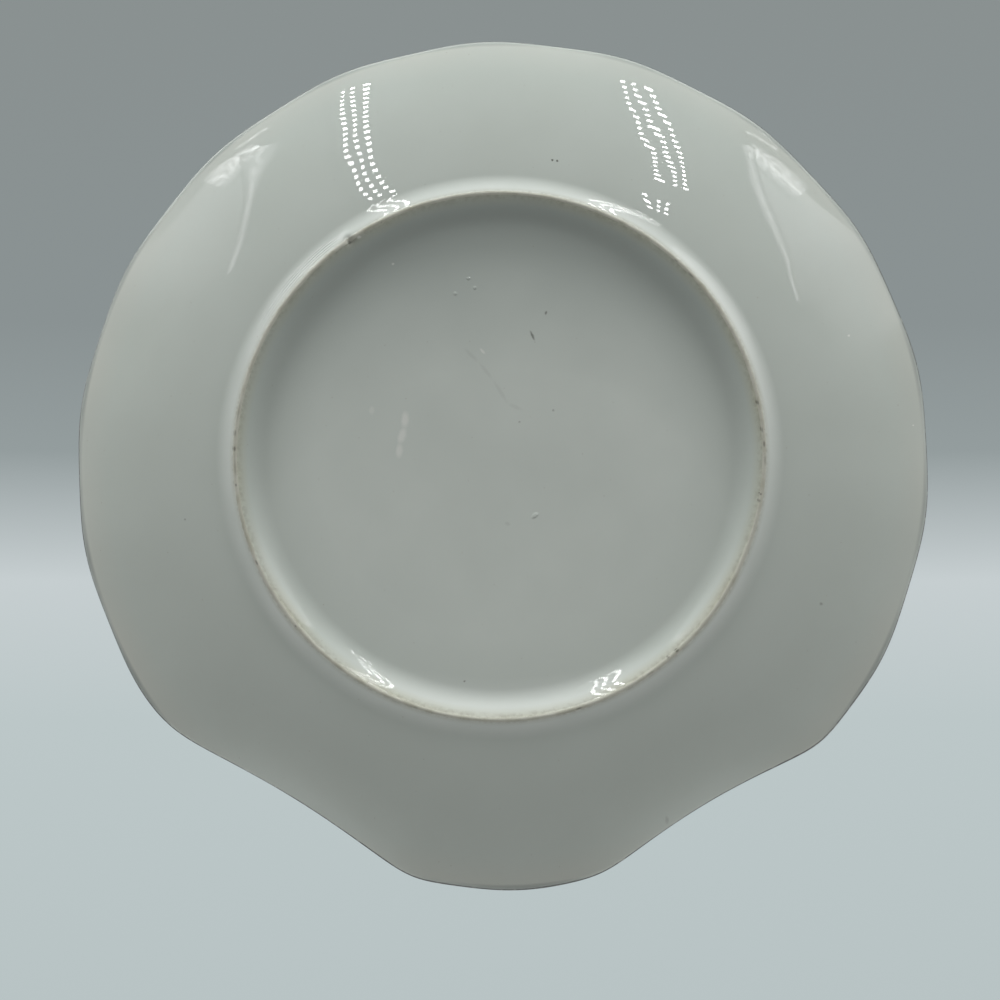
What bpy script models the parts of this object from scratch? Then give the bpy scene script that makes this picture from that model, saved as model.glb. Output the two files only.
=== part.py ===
# Lunch plate: a porcelain plate with a scalloped rim, lying on its foot ring with its face up.
# The section is drawn as radius and height, turned about Z, and the outline is pressed in afterwards.
# The origin is the middle of the foot's bearing plane. Metres, +Z up.

import bpy
import numpy as np

# Plate
PLATE_DIAMETER = 0.216  # over the crests of the scallops
RIM_HEIGHT = 0.0168  # table to the face where the edge begins to round over
WELL_DIAMETER = 0.132  # flat of the well
WELL_TURN = 0.10  # share of the rim over which it turns up out of the well
RIM_LEAN = 0.65  # share of the rim's rise that is a straight slope, and the rest curls up at the edge
FLOOR_THICKNESS = 0.0038
ROOT_THICKNESS = 0.0053  # wall of the rim beside the foot
EDGE_THICKNESS = 0.0022

# Foot ring
FOOT_DIAMETER = 0.1306  # through the middle of the bearing edge
BEARING_WIDTH = 0.0010
FOOT_OUTER_RUN = 0.0046  # bearing edge out to the back of the rim
FOOT_INNER_RUN = 0.0071  # bearing edge in to the ceiling of the recess
RECESS_DEPTH = 0.0032  # table to the ceiling of the recess
OUTER_FILLET = 0.42  # share of the outer run over which the back turns down into the foot
INNER_FILLET = 0.50  # share of the inner run over which the ceiling turns down into the foot
TOE_RUN = 0.30  # share of a run over which a side eases at its toe
TOE_RISE = 0.35  # share of a side's height that it rises over that run

# Outline, angles in degrees from +X towards +Y
SCALLOP_COUNT = 18
SCALLOP_DEPTH = 0.00055  # crest to trough
SCALLOP_CREST = 7.5
FLAT_ANGLES = (59.3, 121.3)  # middles of the two flats in the edge
FLAT_DEPTHS = (0.0075, 0.0082)
FLAT_HALF_WIDTHS = (17.4, 19.3)  # from the middle to where a flat meets the round outline
FLAT_CORNER = 0.0014  # how much the corners at the ends of a flat are eased
RIM_EASE = 1.6  # how the outline fades from the edge in to the foot

# Coats
GLAZE_THICKNESS = 0.0004
LAYER_GAP = 0.0002  # clearance between a coat and what it lies on or ends at
BARE_HEIGHT = 0.0004  # the glaze stops this far above the table
EDGE_LINE_FACE = 0.0013  # width of the line from the edge onto the face
EDGE_LINE_BACK = 0.0007  # width of the line from the edge onto the back

# Fineness
STEPS_PER_SCALLOP = 4
FACE_SPANS = 9
NOSE_SPANS = 4
BACK_SPANS = 8
SLOPE_SPANS = 6
SLOPE_STEP = 0.0001  # over which a slope is measured
MERGE_DISTANCE = 0.000001

# Radii and heights that follow from the sizes above
COAT = LAYER_GAP + GLAZE_THICKNESS
PLATE_RADIUS = PLATE_DIAMETER / 2
NOSE_RADIUS = EDGE_THICKNESS / 2
RIM_END = PLATE_RADIUS - NOSE_RADIUS
WELL_RADIUS = WELL_DIAMETER / 2
FLOOR_HEIGHT = RECESS_DEPTH + FLOOR_THICKNESS
BEARING_OUTER = (FOOT_DIAMETER + BEARING_WIDTH) / 2
BEARING_INNER = (FOOT_DIAMETER - BEARING_WIDTH) / 2
FOOT_OUTER_RADIUS = BEARING_OUTER + FOOT_OUTER_RUN
RECESS_RADIUS = BEARING_INNER - FOOT_INNER_RUN


def face_height(radius):
    # Level in the well, a short turn up, then a slope that curls up towards the edge
    share = np.clip((radius - WELL_RADIUS) / (RIM_END - WELL_RADIUS), 0, 1)
    slope = (1 + WELL_TURN) * share**2 / (share + WELL_TURN)
    return FLOOR_HEIGHT + (RIM_HEIGHT - FLOOR_HEIGHT) * (RIM_LEAN * slope + (1 - RIM_LEAN) * share**3)


def back_height(radius):
    # The back lies under the face by a wall that stays thick by the foot and thins towards the edge
    share = (radius - FOOT_OUTER_RADIUS) / (RIM_END - FOOT_OUTER_RADIUS)
    return face_height(radius) - ROOT_THICKNESS + (ROOT_THICKNESS - EDGE_THICKNESS) * share**2


def nose():
    # The rounded edge: half an ellipse that leans with the rim, from the face round to the back
    lean = (face_height(RIM_END) - face_height(RIM_END - SLOPE_STEP)) / SLOPE_STEP
    around = np.radians(np.linspace(90, -90, NOSE_SPANS + 1))[1:-1]
    reach = NOSE_RADIUS * np.cos(around)
    middle_height = RIM_HEIGHT - NOSE_RADIUS
    return np.column_stack([RIM_END + reach, middle_height + lean * reach + NOSE_RADIUS * np.sin(around)])


def foot_slope(toe_radius, top_radius, top_height, top_slope, fillet):
    # One side of the foot, from its top down to where its glaze stops: a cubic curve that leaves the top
    # along the slope there, is steepest half way down and eases again towards the toe
    run = toe_radius - top_radius
    corners = np.array([
        (top_radius, top_height),
        (top_radius + fillet * run, top_height + top_slope * fillet * run),
        (toe_radius - TOE_RUN * run, BARE_HEIGHT + TOE_RISE * (top_height - BARE_HEIGHT)),
        (toe_radius, BARE_HEIGHT),
    ])
    share = np.linspace(0, 1, SLOPE_SPANS + 1)[:, None]
    rest = 1 - share
    return np.hstack([rest**3, 3 * share * rest**2, 3 * share**2 * rest, share**3]) @ corners


def outer_stretch():
    # Glazed surface from the middle of the face over the edge and down the outside of the foot
    face = np.concatenate([[0], np.linspace(WELL_RADIUS, RIM_END, FACE_SPANS + 1)])
    back = np.linspace(RIM_END, FOOT_OUTER_RADIUS, BACK_SPANS + 1)[:-1]
    root_height = back_height(FOOT_OUTER_RADIUS)
    root_slope = (back_height(FOOT_OUTER_RADIUS + SLOPE_STEP) - root_height) / SLOPE_STEP
    return np.vstack([
        np.column_stack([face, face_height(face)]),
        nose(),
        np.column_stack([back, back_height(back)]),
        foot_slope(BEARING_OUTER + COAT, FOOT_OUTER_RADIUS, root_height, root_slope, OUTER_FILLET),
    ])


def inner_stretch():
    # Glazed surface from inside the foot up to the ceiling of the recess and in to the middle
    slope = foot_slope(BEARING_INNER - COAT, RECESS_RADIUS, RECESS_DEPTH, 0, INNER_FILLET)
    return np.vstack([slope[::-1], [[0, RECESS_DEPTH]]])


def inward_steps(path):
    # At each point, the step that moves both neighbouring lines inwards by one metre
    along = np.diff(path, axis=0)
    along /= np.linalg.norm(along, axis=1)[:, None]
    inward = np.column_stack([along[:, 1], -along[:, 0]])
    before = np.vstack([inward[:1], inward])
    after = np.vstack([inward, inward[-1:]])
    middle = before + after
    return 2 * middle / np.sum(middle**2, axis=1)[:, None]


def lengths(path):
    return np.concatenate([[0], np.cumsum(np.linalg.norm(np.diff(path, axis=0), axis=1))])


def portion(path, along, start, end):
    # The part of a path between two distances along it
    inside = (along > start) & (along < end)
    distances = np.concatenate([[start], along[inside], [end]])
    return np.column_stack([np.interp(distances, along, path[:, axis]) for axis in (0, 1)])


def coat_section(path, start, end):
    # A coat of glaze on a stretch: its surface, and the same line one glaze thickness inwards
    along = lengths(path)
    under = path + GLAZE_THICKNESS * inward_steps(path)
    return np.vstack([portion(path, along, start, end), portion(under, along, start, end)[::-1]])


def press_outline(mesh):
    # Move every point towards the axis by what the edge loses at its angle: the scallops or a flat,
    # whichever takes more, with the corner between them eased
    points = np.empty(len(mesh.vertices) * 3)
    mesh.vertices.foreach_get("co", points)
    points = points.reshape(-1, 3)
    radius = np.hypot(points[:, 0], points[:, 1])
    angle = np.degrees(np.arctan2(points[:, 1], points[:, 0]))
    taken = SCALLOP_DEPTH / 2 * (1 - np.cos(np.radians(SCALLOP_COUNT * (angle - SCALLOP_CREST))))
    for middle, depth, half_width in zip(FLAT_ANGLES, FLAT_DEPTHS, FLAT_HALF_WIDTHS):
        away = np.abs((angle - middle + 180) % 360 - 180)
        flat = depth * (1 - (away / half_width) ** 2)
        taken = FLAT_CORNER * np.logaddexp(taken / FLAT_CORNER, flat / FLAT_CORNER)
    share = np.clip((radius - FOOT_OUTER_RADIUS) / (PLATE_RADIUS - FOOT_OUTER_RADIUS), 0, 1)
    points[:, :2] *= (1 - taken * share**RIM_EASE / np.maximum(radius, MERGE_DISTANCE))[:, None]
    mesh.vertices.foreach_set("co", points.ravel())


def turned(name, section, closed, material):
    # Turn a section about Z with a Screw modifier, make it a mesh and press the outline into it.
    # The section starts on a crest, so that steps fall on every crest and trough.
    count = len(section)
    edges = [(i, (i + 1) % count) for i in range(count if closed else count - 1)]
    ahead = np.cos(np.radians(SCALLOP_CREST))
    aside = np.sin(np.radians(SCALLOP_CREST))
    profile = bpy.data.meshes.new(name)
    profile.from_pydata([(radius * ahead, radius * aside, height) for radius, height in section], edges, [])
    piece = bpy.data.objects.new(name, profile)
    plate.objects.link(piece)
    screw = piece.modifiers.new("turn", "SCREW")
    screw.steps = SCALLOP_COUNT * STEPS_PER_SCALLOP
    screw.render_steps = screw.steps
    screw.use_merge_vertices = True
    screw.merge_threshold = MERGE_DISTANCE
    mesh = bpy.data.meshes.new_from_object(piece.evaluated_get(bpy.context.evaluated_depsgraph_get()))
    piece.modifiers.remove(screw)
    piece.data = mesh
    mesh.name = name
    bpy.data.meshes.remove(profile)
    press_outline(mesh)
    mesh.shade_smooth()
    mesh.set_sharp_from_angle(angle=np.radians(50))
    mesh.materials.append(material)
    return piece


def finish(name, colour, roughness, metallic=0.0):
    material = bpy.data.materials.new(name)
    material.use_nodes = True
    shader = material.node_tree.nodes["Principled BSDF"]
    shader.inputs["Base Color"].default_value = (*colour, 1)
    shader.inputs["Roughness"].default_value = roughness
    shader.inputs["Metallic"].default_value = metallic
    return material


for old in list(bpy.data.objects):
    bpy.data.objects.remove(old, do_unlink=True)

plate = bpy.data.collections.new("lunch_plate")
bpy.context.scene.collection.children.link(plate)

outside = outer_stretch()
recess = inner_stretch()
outside_end = lengths(outside)[-1]
nose_at = lengths(outside)[FACE_SPANS + 1 + NOSE_SPANS // 2]
line_start = nose_at - EDGE_LINE_FACE
line_end = nose_at + EDGE_LINE_BACK
recess_end = lengths(recess)[-1]

# Porcelain body: everything inside the coats, and the bare edge that stands on the table
bearing = [[BEARING_OUTER, 0], [BEARING_INNER, 0]]
body = np.vstack([outside + COAT * inward_steps(outside), bearing, recess + COAT * inward_steps(recess)])
turned("porcelain_body", body, False, finish("bare_porcelain", (0.78, 0.73, 0.62), 0.55))

# Glaze on the face, from the middle out to the edge line
face_coat = coat_section(outside, 0, line_start - LAYER_GAP)
turned("face_glaze", face_coat, False, finish("white_face_glaze", (0.76, 0.78, 0.75), 0.08))

# Dark line round the edge, a little onto the face and the back
edge_coat = coat_section(outside, line_start, line_end)
turned("edge_line", edge_coat, True, finish("brown_edge_line", (0.09, 0.065, 0.045), 0.35))

# Glaze on the back, from the edge line in to the outside of the foot
back_coat = coat_section(outside, line_end + LAYER_GAP, outside_end)
turned("rim_back_glaze", back_coat, True, finish("white_back_glaze", (0.74, 0.76, 0.73), 0.08))

# Glaze in the recess, turned from its upper side to its lower side
recess_coat = np.roll(coat_section(recess, 0, recess_end), -len(recess), axis=0)
turned("foot_well_glaze", recess_coat, False, finish("white_recess_glaze", (0.72, 0.74, 0.71), 0.08))
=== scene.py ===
# Looks of a lunch plate: white glazed porcelain on a bare foot edge, with a thin dark line round the rim.
import bpy
import numpy as np
from mathutils import Matrix, Vector


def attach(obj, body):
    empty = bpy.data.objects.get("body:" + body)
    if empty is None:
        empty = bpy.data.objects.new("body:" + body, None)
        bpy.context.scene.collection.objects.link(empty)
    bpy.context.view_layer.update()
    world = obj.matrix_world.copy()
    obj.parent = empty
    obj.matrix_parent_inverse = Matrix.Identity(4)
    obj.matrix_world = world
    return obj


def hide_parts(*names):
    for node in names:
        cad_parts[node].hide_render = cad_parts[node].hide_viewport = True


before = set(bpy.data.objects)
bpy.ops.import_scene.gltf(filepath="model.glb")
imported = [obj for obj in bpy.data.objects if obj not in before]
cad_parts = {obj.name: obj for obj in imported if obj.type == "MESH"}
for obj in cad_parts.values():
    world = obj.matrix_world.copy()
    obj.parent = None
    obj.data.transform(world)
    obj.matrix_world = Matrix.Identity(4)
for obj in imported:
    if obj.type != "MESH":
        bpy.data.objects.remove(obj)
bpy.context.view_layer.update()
print("frame loaded:", ", ".join(sorted(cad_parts)))

mm = 0.001  # shapes are in metres, patterns and marks in millimetres


# Camera: under the plate and looking up at its foot, a little off the axis
view = {
    "distance": 0.6,
    "leanX": 1.78,  # degrees off the plate's axis
    "leanY": 5.66,
    "aimX": 0.0003,  # where the middle of the picture falls on the table plane
    "aimY": 0.0114,
    "lens": 87.48,
    "sensor": 36.0,
    "nearest": 0.01,
}


def setCamera(v):
    data = bpy.data.cameras.new("photoCamera")
    data.lens = v["lens"]
    data.sensor_width = v["sensor"]
    data.clip_start = v["nearest"]
    camera = bpy.data.objects.new("photoCamera", data)
    bpy.context.scene.collection.objects.link(camera)
    away = Vector((np.tan(np.radians(v["leanX"])), np.tan(np.radians(v["leanY"])), -1)).normalized()
    camera.location = away * v["distance"]
    backward = (camera.location - Vector((v["aimX"], v["aimY"], 0))).normalized()
    right = Vector((0, -1, 0)).cross(backward).normalized()  # the picture's up is -Y
    camera.rotation_euler = Matrix((right, backward.cross(right), backward)).transposed().to_euler()
    bpy.context.scene.camera = camera


setCamera(view)
print("camera set")


# Section of the plate, as radius and height
section = {
    "rimRadius": 0.108,  # over the crests of the scallops
    "rimHeight": 0.0168,
    "wellRadius": 0.066,
    "wellTurn": 0.10,  # share of the rim that turns up out of the well
    "rimLean": 0.65,  # share of the rise that is a straight slope, the rest curls up
    "floorWall": 0.0038,
    "rootWall": 0.0053,  # of the rim beside the foot
    "edgeWall": 0.0022,
}
footRing = {
    "radius": 0.0654,  # middle of the bearing edge
    "bearing": 0.0008,
    "outerRun": 0.0046,
    "innerRun": 0.0073,
    "recessDepth": 0.0032,
    "outerFillet": 0.42,  # share of a run over which it turns down into the foot
    "innerFillet": 0.50,
    "toeRun": 0.30,  # share of a run over which a side eases at its toe
    "toeRise": 0.35,  # share of a side's height that it rises over that run
    "bareWidth": 0.0010,  # left unglazed
    "bareStep": 0.00015,  # the glaze ends this far above the table
}
rimOutline = {
    "scallops": 18,
    "scallopDepth": 0.00055,
    "crest": 7.5,  # degrees
    "flats": ((59.3, 0.0075, 17.4), (121.3, 0.0082, 19.3)),  # middle in degrees, depth, half width in degrees
    "flatCorner": 0.0014,  # how much the ends of a flat are eased
    "ease": 1.6,  # how the outline fades from the edge in to the foot
}
coat = {
    "toe": 0.0003,  # the sides of the foot end this far from the bearing edge
    "toeHeight": 0.00035,
    "glaze": 0.0004,
    "thinEnd": 0.00001,  # thickness at a bare end
    "thinRun": 0.002,  # over which it thins
    "seat": 0.00001,  # clearance to the body
}

noseRadius = section["edgeWall"] / 2
rimEnd = section["rimRadius"] - noseRadius
floorHeight = footRing["recessDepth"] + section["floorWall"]
bearingOuter = footRing["radius"] + footRing["bearing"] / 2
bearingInner = footRing["radius"] - footRing["bearing"] / 2
footOuter = bearingOuter + footRing["outerRun"]
recessRadius = bearingInner - footRing["innerRun"]


def faceHeight(radius):
    # level in the well, a short turn up, then a slope plus a cubic curl towards the edge
    share = np.clip((radius - section["wellRadius"]) / (rimEnd - section["wellRadius"]), 0, 1)
    slope = (1 + section["wellTurn"]) * share**2 / (share + section["wellTurn"])
    rise = section["rimLean"] * slope + (1 - section["rimLean"]) * share**3
    return floorHeight + (section["rimHeight"] - floorHeight) * rise


def backHeight(radius):
    # the face lowered by a wall that stays thick by the foot and thins towards the edge
    share = (radius - footOuter) / (rimEnd - footOuter)
    return faceHeight(radius) - section["rootWall"] + (section["rootWall"] - section["edgeWall"]) * share**2


def nosePoints(degrees):
    # half an ellipse that leans with the rim: cosine outwards, sine upwards plus the lean
    lean = (faceHeight(rimEnd) - faceHeight(rimEnd - noseRadius)) / noseRadius
    reach = noseRadius * np.cos(np.radians(degrees))
    rise = noseRadius * np.sin(np.radians(degrees))
    return rimEnd + reach, section["rimHeight"] - noseRadius + lean * reach + rise


def bezier(corners, rows):
    # cubic curve through its first and last corners, leaving along the line to the next corner
    share = np.linspace(0, 1, rows)[:, None]
    rest = 1 - share
    return np.hstack([rest**3, 3 * share * rest**2, 3 * share**2 * rest, share**3]) @ np.array(corners)


def footLine(toe, top, topHeight, topSlope, fillet, wallRows, crestRows):
    # one curve down the side, steepest half way and easing at the toe, then straight on to the bare edge
    run = toe - top
    toeHeight = coat["toeHeight"]
    easeHeight = toeHeight + footRing["toeRise"] * (topHeight - toeHeight)
    wall = bezier([
        (top, topHeight),
        (top + fillet * run, topHeight + topSlope * fillet * run),
        (toe - footRing["toeRun"] * run, easeHeight),
        (toe, toeHeight),
    ], wallRows)
    side = np.sign(toe - footRing["radius"])
    end = (footRing["radius"] + side * footRing["bareWidth"] / 2, footRing["bareStep"])
    return np.vstack([wall, np.linspace(wall[-1], end, crestRows)[1:]])


def faceLine(wellRows, rimRows, noseRows):
    # the face from the middle of the well to the tip of the edge
    well = np.linspace(0, section["wellRadius"], wellRows, endpoint=False)
    radius = np.concatenate([well, np.linspace(section["wellRadius"], rimEnd, rimRows)])
    nose = np.column_stack(nosePoints(np.linspace(90, 0, noseRows)))
    return np.vstack([np.column_stack([radius, faceHeight(radius)]), nose[1:]])


def backLine(noseRows, rimRows, wallRows, crestRows):
    # the back from the tip of the edge in to the foot and down its outside
    nose = np.column_stack(nosePoints(np.linspace(0, -90, noseRows)))
    radius = np.linspace(rimEnd, footOuter, rimRows)[1:]
    toe = bearingOuter + coat["toe"]
    root = backHeight(footOuter)
    rootSlope = (backHeight(footOuter + mm) - root) / mm
    foot = footLine(toe, footOuter, root, rootSlope, footRing["outerFillet"], wallRows, crestRows)
    return np.vstack([nose, np.column_stack([radius, backHeight(radius)]), foot[1:]])


def recessLine(ceilingRows, wallRows, crestRows):
    # inside the foot from where the glaze stops up to the ceiling and in to the middle
    toe = bearingInner - coat["toe"]
    depth = footRing["recessDepth"]
    foot = footLine(toe, recessRadius, depth, 0, footRing["innerFillet"], wallRows, crestRows)
    radius = np.linspace(recessRadius, 0, ceilingRows)[1:]
    return np.vstack([foot[::-1], np.column_stack([radius, np.full(len(radius), depth)])])


def inward(line):
    # unit steps square to a section line, into the porcelain
    along = np.gradient(line, axis=0)
    along /= np.linalg.norm(along, axis=1)[:, None]
    return np.column_stack([along[:, 1], -along[:, 0]])


def lengthAlong(line):
    return np.concatenate([[0], np.cumsum(np.linalg.norm(np.diff(line, axis=0), axis=1))])


def coatDepth(fromEnd):
    # full glaze thickness, thinning smoothly to a feather over the last run before a bare end
    share = np.clip(fromEnd / coat["thinRun"], 0, 1)
    return coat["thinEnd"] + (coat["glaze"] - coat["thinEnd"]) * share * share * (3 - 2 * share)


# What the hand and the kiln leave: a slow warp of the rim, a ripple in the glaze, and a nick in the foot
handWork = {
    "seed": 18,
    "warp": ((2, 0.00016, 0.9), (3, 0.00009, 2.2), (7, 0.00003, 0.4)),  # waves round, height, phase
    "rippleCount": 16,
    "rippleLength": (0.007, 0.030),
    "rippleHeight": 0.000003,
    "nickAngle": 235.3,  # degrees
    "nickWidth": 0.0011,
    "chipRadius": 0.0651,
    "chipDepth": 0.0009,  # taken out of the crest
    "burrRadius": 0.0671,
    "burrHeight": 0.0004,  # pushed up outside it
    "nickReach": 0.0011,
    "nickTop": 0.003,  # fades out at this height
}
draw = np.random.default_rng(handWork["seed"])
rippleTurns = draw.uniform(0, 2 * np.pi, handWork["rippleCount"])
rippleWaves = 2 * np.pi / draw.uniform(*handWork["rippleLength"], handWork["rippleCount"])
ripplePhases = draw.uniform(0, 2 * np.pi, handWork["rippleCount"])


def takenOff(angle):
    # what the edge loses at an angle: the scallops (a cosine) or a flat (a parabola), whichever takes more,
    # with the corner between them eased
    degrees = np.degrees(angle)
    corner = rimOutline["flatCorner"]
    wave = np.cos(np.radians(rimOutline["scallops"] * (degrees - rimOutline["crest"])))
    taken = rimOutline["scallopDepth"] / 2 * (1 - wave)
    for middle, depth, halfWidth in rimOutline["flats"]:
        away = ((degrees - middle + 180) % 360 - 180) / halfWidth
        taken = corner * np.logaddexp(taken / corner, depth * (1 - away**2) / corner)
    return taken


def nicked(radius, height, angle):
    # a bell-shaped chip lifted out of the crest, and a bell-shaped burr pushed outwards beside it
    h = handWork
    aside = radius * np.radians((np.degrees(angle) - h["nickAngle"] + 180) % 360 - 180)
    low = np.clip(1 - height / h["nickTop"], 0, 1)
    across = np.exp(-((aside / h["nickWidth"]) ** 2)) * low
    chip = h["chipDepth"] * across * np.exp(-(((radius - h["chipRadius"]) / h["nickReach"]) ** 2))
    burr = h["burrHeight"] * across * np.exp(-(((radius - h["burrRadius"]) / h["nickReach"]) ** 2))
    return radius + burr, height + chip


def turnLine(radius, height, columns):
    # a section line turned about Z, with the outline pressed in and the warp, ripple and nick added
    angle = np.linspace(0, 2 * np.pi, columns, endpoint=False)[None, :]
    radius = radius.reshape(len(radius), -1) + np.zeros_like(angle)
    height = height.reshape(len(height), -1) + np.zeros_like(angle)
    share = np.clip((radius - footOuter) / (section["rimRadius"] - footOuter), 0, 1)
    radius = radius - takenOff(angle) * share ** rimOutline["ease"]
    radius, height = nicked(radius, height, angle)
    x, y = radius * np.cos(angle), radius * np.sin(angle)
    lift = sum(high * np.sin(waves * angle + phase) for waves, high, phase in handWork["warp"]) * share**2
    for turn, wave, phase in zip(rippleTurns, rippleWaves, ripplePhases):
        lift = lift + handWork["rippleHeight"] * np.sin(wave * (x * np.cos(turn) + y * np.sin(turn)) + phase)
    offTable = np.clip(height / footRing["recessDepth"], 0, 1)  # the foot stays level
    return np.stack([x, y, height + lift * offTable], axis=-1)


sharpAngle = 50  # degrees, a sharper edge isn't shaded smooth


def addPiece(name, points, closed, material, node):
    # a grid of section rows by columns round the axis: rows join up if closed, or end in poles on the axis
    rows, columns = points.shape[:2]
    index = np.arange(rows * columns).reshape(rows, columns)
    if closed:
        index = np.vstack([index, index[:1]])
    beside = np.roll(index, -1, axis=1)
    quads = np.stack([index[:-1], index[1:], beside[1:], beside[:-1]], axis=-1)
    used = points.reshape(-1, 3)
    if closed:
        faces = quads.reshape(-1, 4).tolist()
    else:
        # the first and last rows shrink to one point each, which the triangles round them share
        first, last = columns - 1, (rows - 1) * columns
        tip, tail = quads[0][:, [0, 1, 2]], quads[-1][:, [0, 1, 3]]
        tip[:, 0], tail[:, 1] = first, last
        middle = quads[1:-1].reshape(-1, 4)
        faces = [face for part in (middle, tip, tail) for face in (part - first).tolist()]
        used = used[first : last + 1]
    mesh = bpy.data.meshes.new(name)
    mesh.from_pydata(used, [], faces)
    mesh.shade_smooth()
    mesh.set_sharp_from_angle(angle=np.radians(sharpAngle))
    mesh.materials.append(material)
    piece = bpy.data.objects.new(name, mesh)
    bpy.context.scene.collection.objects.link(piece)
    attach(piece, "root")
    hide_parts(node)
    print("piece made:", name, len(faces), "faces")


# Materials
def linear(hexColour):
    # an sRGB hex value as linear light
    parts = np.array([int(hexColour[i : i + 2], 16) for i in (1, 3, 5)]) / 255
    parts = np.where(parts <= 0.04045, parts / 12.92, ((parts + 0.055) / 1.055) ** 2.4)
    return (*parts.tolist(), 1.0)


def addNode(tree, kind, inputs, **settings):
    # a node with its settings, each input linked if it is given a socket and set otherwise
    made = tree.nodes.new("ShaderNode" + kind)
    for key, value in settings.items():
        setattr(made, key, value)
    for key, value in inputs.items():
        if isinstance(value, bpy.types.NodeSocket):
            tree.links.new(value, made.inputs[key])
        else:
            made.inputs[key].default_value = value
    return made


def newMaterial(name):
    material = bpy.data.materials.new(name)
    material.use_nodes = True
    return material, material.node_tree, material.node_tree.nodes["Principled BSDF"]


def placeInMm(tree):
    place = addNode(tree, "TexCoord", {}).outputs["Object"]
    return addNode(tree, "VectorMath", {0: place, "Scale": 1 / mm}, operation="SCALE").outputs[0]


markCore = 0.4  # share of a mark's size that has its full strength


def strongestMark(tree, place, marks):
    # soft ellipses seen along Z: x, y, half length, half width in mm, turn in degrees, strength
    strongest = None
    for x, y, halfLength, halfWidth, turn, strength in marks:
        onMark = addNode(tree, "Mapping", {
            "Vector": place,
            "Location": (x, y, 0),
            "Rotation": (0, 0, np.radians(turn)),
            "Scale": (halfLength, halfWidth, 1 / mm),
        }, vector_type="TEXTURE").outputs[0]
        away = addNode(tree, "VectorMath", {0: onMark}, operation="LENGTH").outputs["Value"]
        soft = {"Value": away, "From Min": 1.0, "From Max": markCore, "To Max": strength}
        mark = addNode(tree, "MapRange", soft).outputs[0]
        if strongest:
            mark = addNode(tree, "Math", {0: strongest, 1: mark}, operation="MAXIMUM").outputs[0]
        strongest = mark
    return strongest


# dirt where the foot was set down: degrees round, radius, half length, half width in mm, strength
footStains = (
    (348.9, 65.1, 0.7, 0.34, 0.52),
    (354.9, 65.1, 0.8, 0.3, 0.45),
    (358, 65.4, 1, 0.34, 0.56),
    (1.5, 65.6, 1.6, 0.42, 0.26),
    (8.9, 65.2, 0.4, 0.34, 0.6),
    (10.4, 65.1, 0.5, 0.38, 0.45),
    (181.3, 65.5, 0.8, 0.38, 0.64),
    (184.7, 65.6, 1.1, 0.3, 0.45),
    (189.5, 65.5, 4, 0.26, 0.26),
    (177.6, 65.4, 3.4, 0.26, 0.26),
    (173.4, 65.5, 0.45, 0.34, 0.52),
    (155.9, 65.5, 0.9, 0.3, 0.52),
    (139.7, 65.6, 0.4, 0.3, 0.45),
    (48, 65.3, 0.7, 0.38, 0.64),
    (50.4, 65.1, 0.5, 0.34, 0.45),
    (55.5, 65.5, 1.6, 0.34, 0.26),
    (72.6, 65.6, 1, 0.26, 0.52),
    (108.1, 65.6, 0.7, 0.3, 0.22),
    (312.5, 65.1, 0.8, 0.26, 0.38),
    (317, 65.1, 1.2, 0.26, 0.38),
    (235.0, 64.8, 0.6, 0.9, 0.6),
)


def roundMarks(marks):
    # marks given round the foot as strongestMark takes them
    placed = []
    for around, radius, halfLength, halfWidth, strength in marks:
        x, y = radius * np.cos(np.radians(around)), radius * np.sin(np.radians(around))
        placed.append((x, y, halfLength, halfWidth, around + 90, strength))
    return tuple(placed)


porcelain = {
    "white": "#d2dad3",
    "cool": "#cad2ca",
    "mottle": 24.0,  # mm
    "dark": "#403e32",
    "pale": "#f4f6f0",
    "speck": "#9a9182",
    "speckSpacing": 13.0,
    "speckRadius": 0.13,
    "speckCore": 1 / 3,  # share of a speck that has its full colour
    "wobble": 0.5,  # mm, ragged outline of marks
    "wobbleScale": 1.3,  # waves of it per mm
    "torn": (0.4, 0.65),  # noise levels between which grime goes from none to full
    "peel": 2.4,  # mm, orange peel of the glaze
    "peelHeight": 0.0001,
    "lumpHeight": 0.09,
    "turnPitch": 0.6,  # mm, turning marks
    "turnHeight": 0.045,
    "roughness": (0.008, 0.018),
    "ior": 1.52,
}


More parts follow.
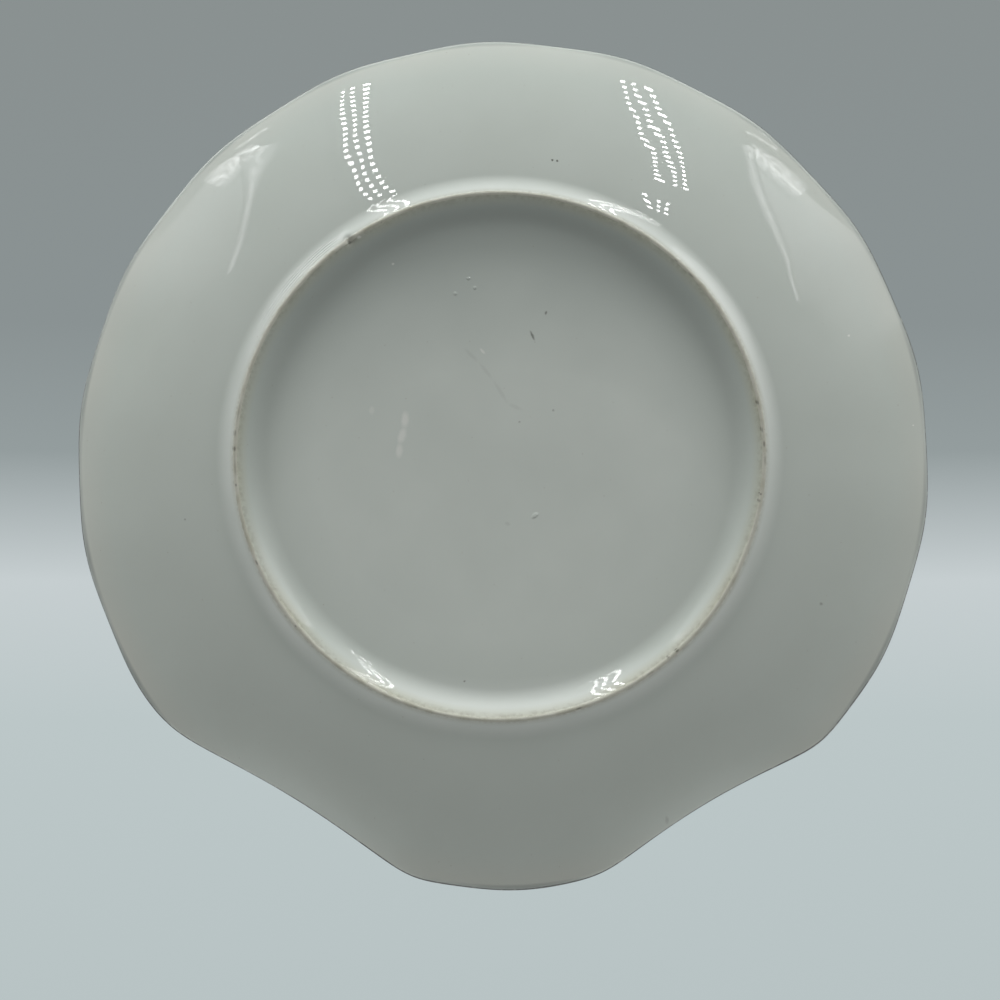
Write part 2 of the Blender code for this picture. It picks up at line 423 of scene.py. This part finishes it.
def glazedPorcelain(name, p, bands, marks):
    # Glazed hard porcelain: a cool greenish white, cloudy by a shade, under a clear hard gloss. The glaze
    # pools in the hollows, thins over edges, holds a few iron specks and shows pin lumps, turning marks,
    # grime and faint wear.
    material, tree, shader = newMaterial(name)
    place = placeInMm(tree)
    cloud = addNode(tree, "TexNoise", {"Vector": place, "Scale": 1 / p["mottle"], "Detail": 3.0}).outputs[0]
    tints = {"Fac": cloud, "Color1": linear(p["white"]), "Color2": linear(p["cool"])}
    colour = addNode(tree, "MixRGB", tints).outputs[0]
    level = addNode(tree, "VectorMath", {0: place, 1: (1, 1, 0)}, operation="MULTIPLY").outputs[0]
    radius = addNode(tree, "VectorMath", {0: level}, operation="LENGTH").outputs["Value"]
    ragged = {"Vector": place, "Scale": p["wobbleScale"], "Detail": 2.0}
    ragged = addNode(tree, "TexNoise", ragged).outputs["Color"]
    moved = (p["wobble"], p["wobble"], 0)
    loose = addNode(tree, "VectorMath", {0: ragged, 1: moved, 2: level}, operation="MULTIPLY_ADD").outputs[0]
    patchy = addNode(tree, "Math", {0: cloud, 1: 2.0}, operation="MULTIPLY").outputs[0]
    # some bands are tints of the glaze, others are painted shade or painted light; a band measured from a
    # point off the axis paints shade or light on one side of the plate
    for start, end, tint, strength, *offset in bands:
        middle = (0, *(offset or [0]), 0)
        shifted = addNode(tree, "VectorMath", {0: level, 1: middle}, operation="SUBTRACT").outputs[0]
        away = addNode(tree, "VectorMath", {0: shifted}, operation="LENGTH").outputs["Value"]
        share = {"Value": away, "From Min": start, "From Max": end, "To Max": strength}
        share = addNode(tree, "MapRange", share).outputs[0]
        if not offset:
            share = addNode(tree, "Math", {0: share, 1: patchy}, operation="MULTIPLY").outputs[0]
        colour = addNode(tree, "MixRGB", {"Fac": share, "Color1": colour, "Color2": linear(tint)}).outputs[0]
    cells = {"Vector": level, "Scale": 1 / p["speckSpacing"]}
    cell = addNode(tree, "TexVoronoi", cells, voronoi_dimensions="2D").outputs
    size = p["speckRadius"] / p["speckSpacing"]
    core = {"Value": cell["Distance"], "From Min": size, "From Max": size * p["speckCore"]}
    speck = addNode(tree, "MapRange", core).outputs[0]
    speck = addNode(tree, "Math", {0: speck, 1: cell["Color"]}, operation="MULTIPLY").outputs[0]
    tints = {"Fac": speck, "Color1": colour, "Color2": linear(p["speck"])}
    colour = addNode(tree, "MixRGB", tints).outputs[0]
    for start, end, tint, strength, patch in marks["grime"]:
        # dirt rubbed into the glaze: a torn noise that grows stronger from one radius to the other
        share = addNode(tree, "MapRange", {"Value": radius, "From Min": start, "From Max": end}).outputs[0]
        torn = addNode(tree, "TexNoise", {"Vector": place, "Scale": 1 / patch, "Detail": 4.0}).outputs[0]
        thin, thick = p["torn"]
        torn = {"Value": torn, "From Min": thin, "From Max": thick, "To Max": strength}
        torn = addNode(tree, "MapRange", torn).outputs[0]
        share = addNode(tree, "Math", {0: share, 1: torn}, operation="MULTIPLY").outputs[0]
        colour = addNode(tree, "MixRGB", {"Fac": share, "Color1": colour, "Color2": linear(tint)}).outputs[0]
    for kind in ("pale", "dark"):
        if marks[kind]:
            share = strongestMark(tree, loose, marks[kind])
            tints = {"Fac": share, "Color1": colour, "Color2": linear(p[kind])}
            colour = addNode(tree, "MixRGB", tints).outputs[0]
    peel = addNode(tree, "TexNoise", {"Vector": place, "Scale": 1 / p["peel"]}).outputs[0]
    bump = addNode(tree, "Bump", {"Height": peel, "Distance": p["peelHeight"] * mm}).outputs[0]
    if marks["turned"]:
        # rings round the axis: a sine of the radius inside soft ellipses
        turn = 2 * np.pi / p["turnPitch"]
        turns = addNode(tree, "Math", {0: radius, 1: turn}, operation="MULTIPLY").outputs[0]
        turns = addNode(tree, "Math", {0: turns}, operation="SINE").outputs[0]
        inside = strongestMark(tree, place, roundMarks(marks["turned"]))
        rings = addNode(tree, "Math", {0: turns, 1: inside}, operation="MULTIPLY").outputs[0]
        ringed = {"Height": rings, "Distance": p["turnHeight"] * mm, "Normal": bump}
        bump = addNode(tree, "Bump", ringed).outputs[0]
    if marks["raised"]:
        lumps = strongestMark(tree, loose, marks["raised"])
        raised = {"Height": lumps, "Distance": p["lumpHeight"] * mm, "Normal": bump}
        bump = addNode(tree, "Bump", raised).outputs[0]
    gloss = {"Value": cloud, "To Min": p["roughness"][0], "To Max": p["roughness"][1]}
    tree.links.new(addNode(tree, "MapRange", gloss).outputs[0], shader.inputs["Roughness"])
    tree.links.new(colour, shader.inputs["Base Color"])
    tree.links.new(bump, shader.inputs["Normal"])
    shader.inputs["IOR"].default_value = p["ior"]
    return material


biscuit = {
    "cream": "#cdcec1",
    "dull": "#b3b3a1",
    "grime": "#3f3d2f",
    "patch": 5.0,  # mm
    "dulled": (0.45, 0.75),  # noise levels between which it goes from cream to dull
    "grit": 0.3,
    "pits": (0.62, 0.8, 0.5),  # noise levels where pits begin and are full, and how dirty they are
    "gritHeight": 0.02,
    "roughness": 0.62,
    "ior": 1.5,
}


def bareBiscuit(name, b):
    # Ground unglazed porcelain: a matt cream edge with a fine grit, dull in patches and dirty where it
    # was set down
    material, tree, shader = newMaterial(name)
    place = placeInMm(tree)
    patch = addNode(tree, "TexNoise", {"Vector": place, "Scale": 1 / b["patch"], "Detail": 4.0}).outputs[0]
    start, full = b["dulled"]
    dull = addNode(tree, "MapRange", {"Value": patch, "From Min": start, "From Max": full}).outputs[0]
    tints = {"Fac": dull, "Color1": linear(b["cream"]), "Color2": linear(b["dull"])}
    colour = addNode(tree, "MixRGB", tints).outputs[0]
    grit = addNode(tree, "TexNoise", {"Vector": place, "Scale": 1 / b["grit"], "Detail": 2.0}).outputs[0]
    start, full, dirty = b["pits"]
    pits = {"Value": grit, "From Min": start, "From Max": full, "To Max": dirty}
    pits = addNode(tree, "MapRange", pits).outputs[0]
    stains = strongestMark(tree, place, roundMarks(footStains))
    dirt = addNode(tree, "Math", {0: pits, 1: stains}, operation="MAXIMUM").outputs[0]
    colour = addNode(tree, "MixRGB", {"Fac": dirt, "Color1": colour, "Color2": linear(b["grime"])}).outputs[0]
    bump = addNode(tree, "Bump", {"Height": grit, "Distance": b["gritHeight"] * mm}).outputs[0]
    tree.links.new(colour, shader.inputs["Base Color"])
    tree.links.new(bump, shader.inputs["Normal"])
    shader.inputs["Roughness"].default_value = b["roughness"]
    shader.inputs["IOR"].default_value = b["ior"]
    return material


enamel = {
    "dark": "#45413d",
    "worn": "#a9aaa3",
    "wear": 1.6,  # mm
    "rubbed": (0.55, 0.75),  # noise levels between which it goes from whole to worn
    "roughness": (0.22, 0.45),
    "ior": 1.5,
}


def wornEnamel(name, e):
    # Painted and fired line: dark grey-brown enamel, rubbed thin in places so that the white shows through
    material, tree, shader = newMaterial(name)
    place = placeInMm(tree)
    wear = addNode(tree, "TexNoise", {"Vector": place, "Scale": 1 / e["wear"], "Detail": 4.0}).outputs[0]
    start, full = e["rubbed"]
    thin = addNode(tree, "MapRange", {"Value": wear, "From Min": start, "From Max": full}).outputs[0]
    tints = {"Fac": thin, "Color1": linear(e["dark"]), "Color2": linear(e["worn"])}
    tree.links.new(addNode(tree, "MixRGB", tints).outputs[0], shader.inputs["Base Color"])
    gloss = {"Value": wear, "To Min": e["roughness"][0], "To Max": e["roughness"][1]}
    tree.links.new(addNode(tree, "MapRange", gloss).outputs[0], shader.inputs["Roughness"])
    shader.inputs["IOR"].default_value = e["ior"]
    return material


# Pieces
def underSide(line, step, fromEnd):
    # the same line one coat deeper, with fewer rows
    under = line + inward(line) * coatDepth(fromEnd)[:, None]
    keep = np.unique(np.concatenate([np.arange(0, len(line), step), [len(line) - 1]]))
    return under[keep]


# a coat's bands are from and to radius in mm, tint, strength and, if it isn't taken from the axis, how far
# along Y the radius is taken from; grime is from and to radius, tint, strength and patch size
faceGlaze = {
    "rows": {"wellRows": 24, "rimRows": 80, "noseRows": 9},
    "innerStep": 6,
    "columns": 720,
    "bands": ((100, 107.5, "#dbd9ce", 0.4), (71, 66, "#c0ccc6", 0.25)),
    "marks": {"grime": (), "dark": (), "pale": (), "turned": (), "raised": ()},
}


def makeFaceGlaze(f):
    line = faceLine(**f["rows"])
    under = underSide(line, f["innerStep"], np.full(len(line), coat["thinRun"]))
    under[0, 0] = 0
    loop = np.vstack([line, under[::-1]])
    points = turnLine(loop[:, 0], loop[:, 1], f["columns"])
    material = glazedPorcelain("white_face_glaze", porcelain, f["bands"], f["marks"])
    addPiece("face_glaze_coat", points, False, material, "face_glaze")


rimBackGlaze = {
    "rows": {"noseRows": 9, "rimRows": 64, "wallRows": 30, "crestRows": 5},
    "innerStep": 6,
    "columns": 720,
    "bands": (
        (99, 106, "#d3d4ca", 0.4),
        # painted shade: a grey band darkens the back of the rim just inside the edge
        (106.3, 107.2, "#8b9390", 0.6),
        # painted shade: the rim's back darker towards its -Y side
        (112, 138, "#a9b2ac", 0.3, 40),
        # painted light: a pale band brightens the outer side of the foot
        (70.5, 67.0, "#ebf0eb", 0.45),
        (67.0, 65.5, "#c2c3af", 0.5),
    ),
    "marks": {
        "grime": ((66.5, 65.9, "#858170", 0.3, 1.1),),
        "dark": (
            (13.6, -73.9, 0.35, 0.33, 0, 0.9),
            (14.8, -73.7, 0.35, 0.33, 0, 0.9),
            (-78.0, 16.0, 0.3, 0.3, 0, 0.4),
            (79.8, 37.1, 0.55, 0.5, 0, 0.35),
            (41.7, 90.6, 1.3, 0.6, 85, 0.18),
            *roundMarks(footStains),
        ),
        "pale": ((104.0, -8.0, 0.35, 0.3, 0, 0.8), (87.5, -30.0, 0.35, 0.3, 0, 0.8)),
        "turned": ((212, 67.3, 7.0, 1.6, 0.5), (220, 67.3, 7.0, 1.6, 0.8), (228, 67.3, 7.0, 1.6, 1.0)),
        "raised": (),
    },
}


def makeRimBackGlaze(r):
    line = backLine(**r["rows"])
    along = lengthAlong(line)
    under = underSide(line, r["innerStep"], along[-1] - along)
    loop = np.vstack([line, under[::-1]])
    points = turnLine(loop[:, 0], loop[:, 1], r["columns"])
    material = glazedPorcelain("white_back_glaze", porcelain, r["bands"], r["marks"])
    addPiece("rim_back_glaze_coat", points, True, material, "rim_back_glaze")


footWellGlaze = {
    "rows": {"ceilingRows": 36, "wallRows": 34, "crestRows": 5},
    "innerStep": 6,
    "columns": 720,
    "bands": (
        # painted light: the recess paler in its middle, fading out towards the foot
        (59, 46, "#e4ebe4", 0.45),
        # painted shade: the recess darker towards its -Y side, next to the foot
        (62, 92, "#a0aaa5", 0.5, 40),
        # painted light: the inside of the foot paler on its +Y side
        (95, 102, "#eef2ee", 0.4, -40),
        (62.4, 64.8, "#c2c1a8", 0.5),
    ),
    "marks": {
        "grime": ((63.4, 65.0, "#858170", 0.4, 1.1),),
        "dark": (
            (8.5, -29.7, 1.6, 0.4, 68, 0.6),
            (11.9, -35.4, 0.7, 0.4, 100, 0.55),
            (13.7, -10.9, 0.4, 0.4, 0, 0.3),
            (5.3, -8.0, 0.35, 0.35, 0, 0.3),
            (2.3, 17.3, 0.9, 0.6, 30, 0.1),
            (-8.3, 56.2, 0.4, 0.35, 0, 0.5),
            (-6.7, -24.8, 2.8, 0.6, 45, 0.07),
            (-3.1, -20.9, 3.0, 0.6, 51, 0.07),
            (0.6, -15.6, 3.9, 0.6, 58, 0.07),
            (4.3, -11.8, 2.2, 0.6, 22, 0.07),
            *roundMarks(footStains),
        ),
        "pale": (
            (-3.9, -25.8, 1.2, 0.4, 45, 0.6),
            (-26.3, -47.9, 0.45, 0.4, 0, 0.6),
            (-34.6, -54.2, 0.7, 0.5, 327, 0.6),
            (-23.2, -8.7, 2.6, 1.2, 94, 0.6),
            (-23.9, -4.7, 2.6, 1.2, 107, 0.6),
            (-24.6, -1.0, 2.3, 1.1, 95, 0.55),
            (-31.5, -11.1, 1.3, 0.9, 90, 0.3),
        ),
        "turned": (),
        "raised": (
            (-7.4, -44.1, 0.6, 0.55, 0, 1),
            (-5.8, -41.7, 0.55, 0.55, 0, 1),
            (-10.7, -40.3, 0.6, 0.55, 0, 1),
            (9.1, 15.3, 1.1, 0.65, 325, 1),
        ),
    },
}


def makeFootWellGlaze(w):
    line = recessLine(**w["rows"])
    under = underSide(line, w["innerStep"], lengthAlong(line))
    under[-1, 0] = 0
    loop = np.vstack([under[::-1], line])
    points = turnLine(loop[:, 0], loop[:, 1], w["columns"])
    material = glazedPorcelain("white_recess_glaze", porcelain, w["bands"], w["marks"])
    addPiece("foot_well_glaze_coat", points, False, material, "foot_well_glaze")


porcelainBody = {
    "faceRows": {"wellRows": 4, "rimRows": 20, "noseRows": 5},
    "backRows": {"noseRows": 5, "rimRows": 20, "wallRows": 16, "crestRows": 5},
    "recessRows": {"ceilingRows": 4, "wallRows": 16, "crestRows": 5},
    "bareRows": 13,
    "columns": 720,
}


def makePorcelainBody(b):
    # under the coats everywhere, coming out at the foot as a bare bead, which is round as a parabola is
    outside = np.vstack([faceLine(**b["faceRows"]), backLine(**b["backRows"])[1:]])
    along = lengthAlong(outside)
    outside = outside + inward(outside) * (coatDepth(along[-1] - along) + coat["seat"])[:, None]
    outside[0, 0] = 0
    recess = recessLine(**b["recessRows"])
    recess = recess + inward(recess) * (coatDepth(lengthAlong(recess)) + coat["seat"])[:, None]
    recess[-1, 0] = 0
    across = np.linspace(1, -1, b["bareRows"])[1:-1]
    bareTop = footRing["bareStep"] + coat["thinEnd"] + coat["seat"]
    bead = np.column_stack([footRing["radius"] + across * footRing["bareWidth"] / 2, bareTop * across**2])
    loop = np.vstack([outside, bead, recess])
    points = turnLine(loop[:, 0], loop[:, 1], b["columns"])
    material = bareBiscuit("bare_porcelain", biscuit)
    addPiece("porcelain_body_foot", points, False, material, "porcelain_body")


edgeLine = {
    "face": 0.0013,  # width from the tip of the edge onto the face
    "back": 0.0007,
    "backSway": 0.00018,  # wider on the +Y side and narrower on the other
    "handWaves": ((5, 0.00009, 1.0), (11, 0.00006, 2.3), (29, 0.00004, 0.2)),  # waves round, width, phase
    "film": 0.00004,
    "underside": 0.0000025,  # height of the film's underside over the tip
    "rows": 12,
    "columns": 1440,
}


def makeEdgeLine(e):
    # a film on the tip of the edge whose two borders sway like a brush line
    angle = np.linspace(0, 2 * np.pi, e["columns"], endpoint=False)[None, :]
    sway = sum(wide * np.sin(waves * angle + phase) for waves, wide, phase in e["handWaves"])
    face = np.degrees((e["face"] + sway) / noseRadius)
    back = np.degrees((e["back"] + e["backSway"] * np.sin(angle) - sway) / noseRadius)
    share = np.linspace(0, 1, e["rows"])[:, None]
    around = face - share * (face + back)
    radius, height = nosePoints(around)
    outR, outZ = np.cos(np.radians(around)), np.sin(np.radians(around))
    over = turnLine(radius + e["film"] * outR, height + e["film"] * outZ, e["columns"])
    under = turnLine(radius + e["underside"] * outR, height + e["underside"] * outZ, e["columns"])
    material = wornEnamel("dark_edge_enamel", enamel)
    points = np.vstack([over, under[::-1]])
    addPiece("edge_line_enamel", points, True, material, "edge_line")


makeFaceGlaze(faceGlaze)
makeRimBackGlaze(rimBackGlaze)
makeFootWellGlaze(footWellGlaze)
makePorcelainBody(porcelainBody)
makeEdgeLine(edgeLine)


# Stage: a pale floor that is solid from above only, so that the lamps under it reach the back of the plate
stage = {"size": 4.0, "paper": "#d9dcdb", "fibre": "#d3d7d6", "fibreSize": 1.5, "roughness": 0.9}


def stageMesh(name, points, faces, material):
    mesh = bpy.data.meshes.new(name)
    mesh.from_pydata(points, [], faces)
    mesh.materials.append(material)
    made = bpy.data.objects.new(name, mesh)
    bpy.context.scene.collection.objects.link(made)
    made.visible_shadow = False
    made.visible_diffuse = False
    return made


def makeFloor(s):
    # Matt paper: pale grey with a fine fibre
    material, tree, shader = newMaterial("matt_paper_floor")
    place = placeInMm(tree)
    fibre = {"Vector": place, "Scale": 1 / s["fibreSize"], "Detail": 3.0}
    fibre = addNode(tree, "TexNoise", fibre).outputs[0]
    tints = {"Fac": fibre, "Color1": linear(s["paper"]), "Color2": linear(s["fibre"])}
    tree.links.new(addNode(tree, "MixRGB", tints).outputs[0], shader.inputs["Base Color"])
    shader.inputs["Roughness"].default_value = s["roughness"]
    under = addNode(tree, "NewGeometry", {}).outputs["Backfacing"]
    clear = addNode(tree, "BsdfTransparent", {}).outputs[0]
    both = addNode(tree, "MixShader", {0: under, 1: shader.outputs[0], 2: clear})
    tree.links.new(both.outputs[0], tree.nodes["Material Output"].inputs["Surface"])
    half = s["size"] / 2
    corners = [(-half, -half, 0), (half, -half, 0), (half, half, 0), (-half, half, 0)]
    floor = stageMesh("floor", corners, [(0, 1, 2, 3)], material)
    floor.visible_glossy = False


makeFloor(stage)


# Light: level is the share of its own colour that a surface facing the lamp sends back
lamps = {
    "overhead": {"place": (-0.3, -0.4, 0.9), "aim": (0, 0, 0), "size": (0.8, 0.8), "level": 0.3},
    "fill": {"place": (0.7, 0.4, 0.6), "aim": (0, 0, 0), "size": (0.6, 0.6), "level": 0.05},
}


def addLamp(name, p):
    data = bpy.data.lights.new(name, "AREA")
    data.shape = "RECTANGLE"
    data.size, data.size_y = p["size"]
    lamp = bpy.data.objects.new(name, data)
    bpy.context.scene.collection.objects.link(lamp)
    lamp.location = p["place"]
    reach = Vector(p["aim"]) - lamp.location
    lamp.rotation_euler = reach.to_track_quat("-Z", "Y").to_euler()
    data.energy = p["level"] * np.pi**2 * lamp.location.length**2  # by the square of its distance
    lamp.visible_camera = False


# What the gloss shows of the ceiling: strips of diodes, and pale panels with a bright border beside them
shine = {
    "height": -0.35,  # along Y, the plane that they lie in
    "strips": (  # from x, z to x, z, bow along x, share of the rows that crowds towards the start, rows
        (-0.134, -0.089, -0.150, -0.530, -0.018, 0.5, 21),
        (0.112, -0.105, 0.179, -0.388, 0.006, 0.1, 19),
        (0.167, -0.485, 0.170, -0.545, 0.0, 0.0, 3),
    ),
    "columnPitch": 0.0155,
    "diode": (0.45, 0.0060),  # share of the way to the next row, and width
    "diodeLight": 30.0,
    "tear": 10.0,  # mm, size of the gaps in a streak
    "ragged": 0.6,  # share of the light that is lost in them
    "torn": (0.42, 0.58),  # noise levels between which a gap goes from open to closed
    "streaks": (  # from x, z to x, z, the width at each end, then light
        (-0.245, -0.112, -0.350, -0.142, 0.040, 0.100, 9.5),
        (-0.247, -0.120, -0.330, -0.300, 0.060, 0.030, 5.5),
        (-0.330, -0.300, -0.430, -0.520, 0.030, 0.016, 4.8),
        (0.247, -0.148, 0.338, -0.156, 0.050, 0.090, 10.0),
        (0.243, -0.140, 0.330, -0.320, 0.026, 0.032, 5.0),
        (0.330, -0.320, 0.505, -0.625, 0.032, 0.022, 5.0),
        (-0.228, -0.075, -0.272, -0.085, 0.012, 0.012, 6.0),
        (0.230, -0.104, 0.286, -0.098, 0.012, 0.012, 6.0),
    ),
    "panels": (  # bright border from x, z to x, z, how far it reaches along x, light at the border
        (-0.247, -0.120, -0.430, -0.520, -0.45, 1.8),
        (0.243, -0.140, 0.505, -0.625, 0.45, 2.5),
    ),
    "panelFade": (1.0, 0.2, 0.0, 0.5),  # share of the light at a panel's corners, round from its start
}


def glowing(name, light, attribute, ragged):
    # Bare light: the strength follows an attribute of the card, so that its edges are soft, and is torn
    # by a noise
    material, tree = newMaterial(name)[:2]
    soft = addNode(tree, "Attribute", {}, attribute_name=attribute).outputs["Fac"]
    torn = {"Vector": placeInMm(tree), "Scale": 1 / shine["tear"], "Detail": 3.0}
    torn = addNode(tree, "TexNoise", torn).outputs[0]
    start, full = shine["torn"]
    torn = {"Value": torn, "From Min": start, "From Max": full, "To Min": 1 - ragged}
    torn = addNode(tree, "MapRange", torn).outputs[0]
    soft = addNode(tree, "Math", {0: soft, 1: torn}, operation="MULTIPLY").outputs[0]
    strength = addNode(tree, "Math", {0: soft, 1: light}, operation="MULTIPLY").outputs[0]
    glow = addNode(tree, "Emission", {"Strength": strength})
    tree.links.new(glow.outputs[0], tree.nodes["Material Output"].inputs["Surface"])
    material.cycles.emission_sampling = "NONE"
    return material


def addShine(name, corners, softness, light, ragged):
    # quads of x, z corners; softness is the share of the light at the four corners of each
    flat = np.reshape(corners, (-1, 2))
    points = np.column_stack([flat[:, 0], np.full(len(flat), shine["height"]), flat[:, 1]])
    faces = np.arange(len(points)).reshape(-1, 4).tolist()
    made = stageMesh(name, points, faces, glowing(name, light, "soft", ragged))
    soft = made.data.attributes.new("soft", "FLOAT", "POINT")
    soft.data.foreach_set("value", np.resize(softness, len(points)).astype(np.float32))
    made.visible_camera = False


def streak(x0, z0, x1, z1, startWidth, endWidth):
    # two quads side by side that share the bright middle line and fade outwards
    start, end = np.array([x0, z0]), np.array([x1, z1])
    aside = np.array([z0 - z1, x1 - x0]) / np.linalg.norm(end - start) / 2
    return [(start, end, end + side * endWidth, start + side * startWidth) for side in (aside, -aside)]


def makeShine(s):
    # a strip is rows of diodes by three columns on a bowed line, and a panel one quad that fades away from
    # its border and along it
    long, wide = s["diode"]
    for number, (x0, z0, x1, z1, bow, crowd, rows) in enumerate(s["strips"]):
        share = np.linspace(0, 1, rows)
        along = (1 - crowd) * share + crowd * share**3
        x = x0 + (x1 - x0) * along + 4 * bow * along * (1 - along)
        z = z0 + (z1 - z0) * along
        half = np.abs(np.gradient(z)) * long / 2
        columns = x[:, None] + np.array([-1, 0, 1]) * s["columnPitch"]
        signs = np.array([(-1, -1), (1, -1), (1, 1), (-1, 1)])
        cornerX = columns[:, :, None] + signs[:, 0] * wide / 2
        cornerZ = (z[:, None] + half[:, None] * signs[:, 1])[:, None, :] + np.zeros_like(cornerX)
        addShine(f"diodes{number}", np.stack([cornerX, cornerZ], axis=-1), [1.0], s["diodeLight"], 0.0)
    for number, (*shape, light) in enumerate(s["streaks"]):
        addShine(f"streak{number}", streak(*shape), [1.0, 1.0, 0.0, 0.0], light, s["ragged"])
    for number, (x0, z0, x1, z1, reach, light) in enumerate(s["panels"]):
        border = ((x0, z0), (x1, z1), (x1 + reach, z1), (x0 + reach, z0))
        addShine(f"panel{number}", border, s["panelFade"], light, 0.0)


# World: soft light. From above it counts by axis, strongest from the -Y side. From below it is a low light
# from the -Y side, a steeper one from the quarters beside it, a grazing one from the quarters beside +Y and a
# weak one from straight below. What is seen of the world is pale, darker overhead behind the plate, and
# greyer below.
surround = {
    "fromPlus": (0.33, 0.55, 1.0),  # light from +X, +Y and +Z
    "fromMinus": (0.33, 3.0, 0.0),
    # level, then where it starts and where it is full: round from -Y at 0 to +Y at 1, or down to straight
    # below at 1
    "below": (
        (21.0, (("round", 0.25, 0.0), ("down", 0.07, 0.15), ("down", 0.28, 0.15))),
        (6.6, (("round", 0.0, 0.25), ("round", 0.5, 0.25), ("down", 0.15, 0.28), ("down", 0.5, 0.28))),
        (22.0, (("round", 0.5, 0.75), ("round", 1.0, 0.75), ("down", 0.07, 0.0))),
        (0.48, (("down", 0.5, 1.0),)),
    ),
    "pale": "#cdd5d5",
    "room": "#8d9492",
    "behind": (  # along Y across the picture, from the top down
        (0.0, "#8a9191"),
        (0.30, "#8a9293"),
        (0.43, "#949d9e"),
        (0.56, "#c6ced0"),
        (0.70, "#bcc7c8"),
        (1.0, "#b8c3c4"),
    ),
    "behindFrom": -0.27,
    "behindTo": 0.13,
    "roomAt": (-0.4, -0.15),  # along Z, from the grey below to the pale
    "behindAt": (0.6, 0.85),  # along Z, from the pale to what is behind the plate
}


def setWorld(s):
    world = bpy.data.worlds.new("studio")
    bpy.context.scene.world = world
    world.use_nodes = True
    tree = world.node_tree
    direction = addNode(tree, "TexCoord", {}).outputs["Generated"]
    way = addNode(tree, "SeparateXYZ", {0: direction}).outputs
    # the light of each axis counts by the square of the direction's share along it
    plus = addNode(tree, "VectorMath", {0: direction}, operation="MAXIMUM").outputs[0]
    minus = addNode(tree, "VectorMath", {0: direction}, operation="MINIMUM").outputs[0]
    shares = []
    for half, level in ((plus, s["fromPlus"]), (minus, s["fromMinus"])):
        square = addNode(tree, "VectorMath", {0: half, 1: half}, operation="MULTIPLY").outputs[0]
        share = addNode(tree, "VectorMath", {0: square, 1: level}, operation="DOT_PRODUCT")
        shares.append(share.outputs["Value"])
    soft = addNode(tree, "Math", {0: shares[0], 1: shares[1]}, operation="ADD").outputs[0]
    upper = addNode(tree, "Math", {0: way["Z"], 1: 0.0}, operation="GREATER_THAN").outputs[0]
    soft = addNode(tree, "Math", {0: soft, 1: upper}, operation="MULTIPLY").outputs[0]
    # a light from below is its level times its windows, which rise evenly from nothing to full
    wide = addNode(tree, "Math", {0: way["X"]}, operation="ABSOLUTE").outputs[0]
    minusY = addNode(tree, "Math", {0: way["Y"], 1: -1.0}, operation="MULTIPLY").outputs[0]
    turn = addNode(tree, "Math", {0: wide, 1: minusY}, operation="ARCTAN2").outputs[0]
    places = {
        "round": addNode(tree, "Math", {0: turn, 1: np.pi}, operation="DIVIDE").outputs[0],
        "down": addNode(tree, "Math", {0: way["Z"], 1: -1.0}, operation="MULTIPLY").outputs[0],
    }
    lower = addNode(tree, "Math", {0: 1.0, 1: upper}, operation="SUBTRACT").outputs[0]
    for level, windows in s["below"]:
        share = lower
        for place, start, full in windows:
            window = addNode(tree, "MapRange", {"Value": places[place], "From Min": start, "From Max": full})
            share = addNode(tree, "Math", {0: share, 1: window.outputs[0]}, operation="MULTIPLY").outputs[0]
        soft = addNode(tree, "Math", {0: share, 1: level, 2: soft}, operation="MULTIPLY_ADD").outputs[0]
    across = {"Value": way["Y"], "From Min": s["behindFrom"], "From Max": s["behindTo"]}
    ramp = addNode(tree, "ValToRGB", {0: addNode(tree, "MapRange", across).outputs[0]})
    stops = ramp.color_ramp.elements
    for number, (place, colour) in enumerate(s["behind"]):
        stop = stops[number] if number < 2 else stops.new(place)
        stop.position = place
        stop.color = linear(colour)
    start, full = s["roomAt"]
    below = addNode(tree, "MapRange", {"Value": way["Z"], "From Min": start, "From Max": full}).outputs[0]
    seen = {"Fac": below, "Color1": linear(s["room"]), "Color2": linear(s["pale"])}
    seen = addNode(tree, "MixRGB", seen).outputs[0]
    start, full = s["behindAt"]
    above = addNode(tree, "MapRange", {"Value": way["Z"], "From Min": start, "From Max": full}).outputs[0]
    seen = addNode(tree, "MixRGB", {"Fac": above, "Color1": seen, "Color2": ramp.outputs[0]}).outputs[0]
    rays = addNode(tree, "LightPath", {}).outputs
    shown = addNode(tree, "Math", {0: rays["Is Camera Ray"], 1: rays["Is Glossy Ray"]}, operation="MAXIMUM")
    shown = addNode(tree, "Math", {0: shown.outputs[0], 1: rays["Is Transmission Ray"]}, operation="MAXIMUM")
    both = addNode(tree, "MixRGB", {"Fac": shown.outputs[0], "Color1": soft, "Color2": seen})
    tree.links.new(both.outputs[0], tree.nodes["Background"].inputs["Color"])


for lampName, lampPlan in lamps.items():
    addLamp(lampName, lampPlan)
makeShine(shine)
setWorld(surround)
bpy.context.scene.view_settings.view_transform = "Standard"
print("lights set")
